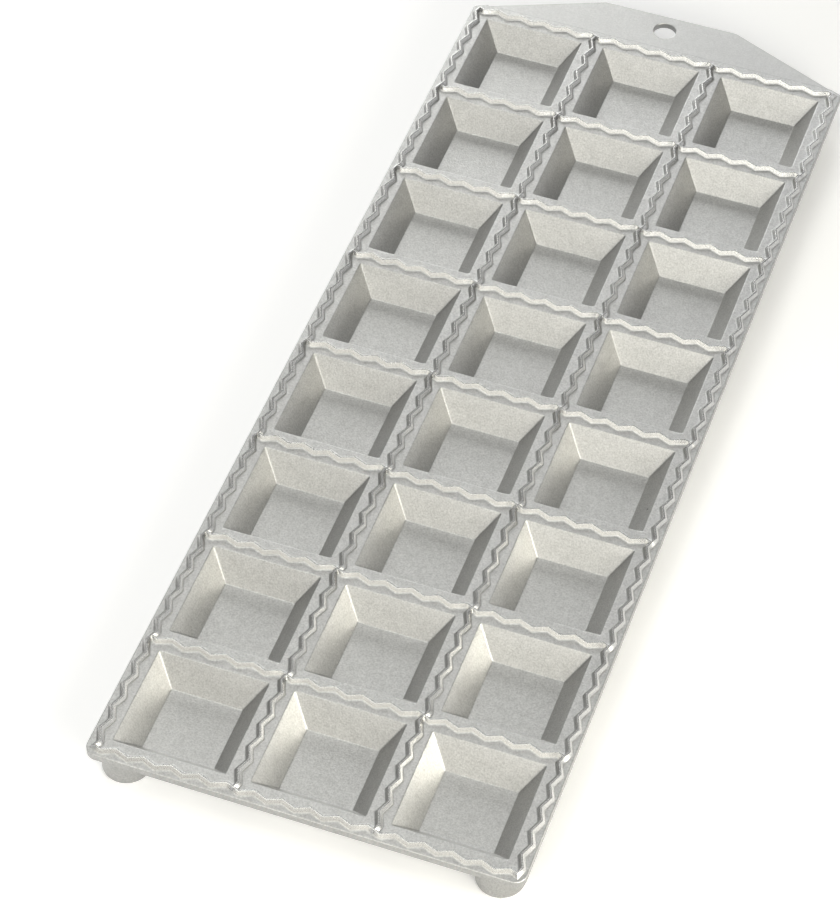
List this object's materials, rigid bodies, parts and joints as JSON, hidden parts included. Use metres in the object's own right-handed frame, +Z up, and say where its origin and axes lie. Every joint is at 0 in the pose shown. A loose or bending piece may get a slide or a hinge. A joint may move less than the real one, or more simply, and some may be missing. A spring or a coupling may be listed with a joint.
{
  "type": "ravioli mold",
  "caption": "Flat cast aluminium tray of tapered square pockets, each ringed by a zigzag cutting ridge, with a tapering hanging tab and short round feet.",
  "frame": {"origin": "on the table plane under the feet, at the middle of the tray's length and width", "axes": "+Z up out of the pockets; +Y along the long side towards the tab with the hanging hole; +X across the columns"},
  "size_m": [0.1126, 0.3074, 0.0126],
  "materials": {
    "cast_aluminium": "satin, as cast and tumbled, with a fine grain"
  },
  "bodies": {
    "root": {"ravioli_tray": "cast_aluminium"}
  },
  "joints": []
}
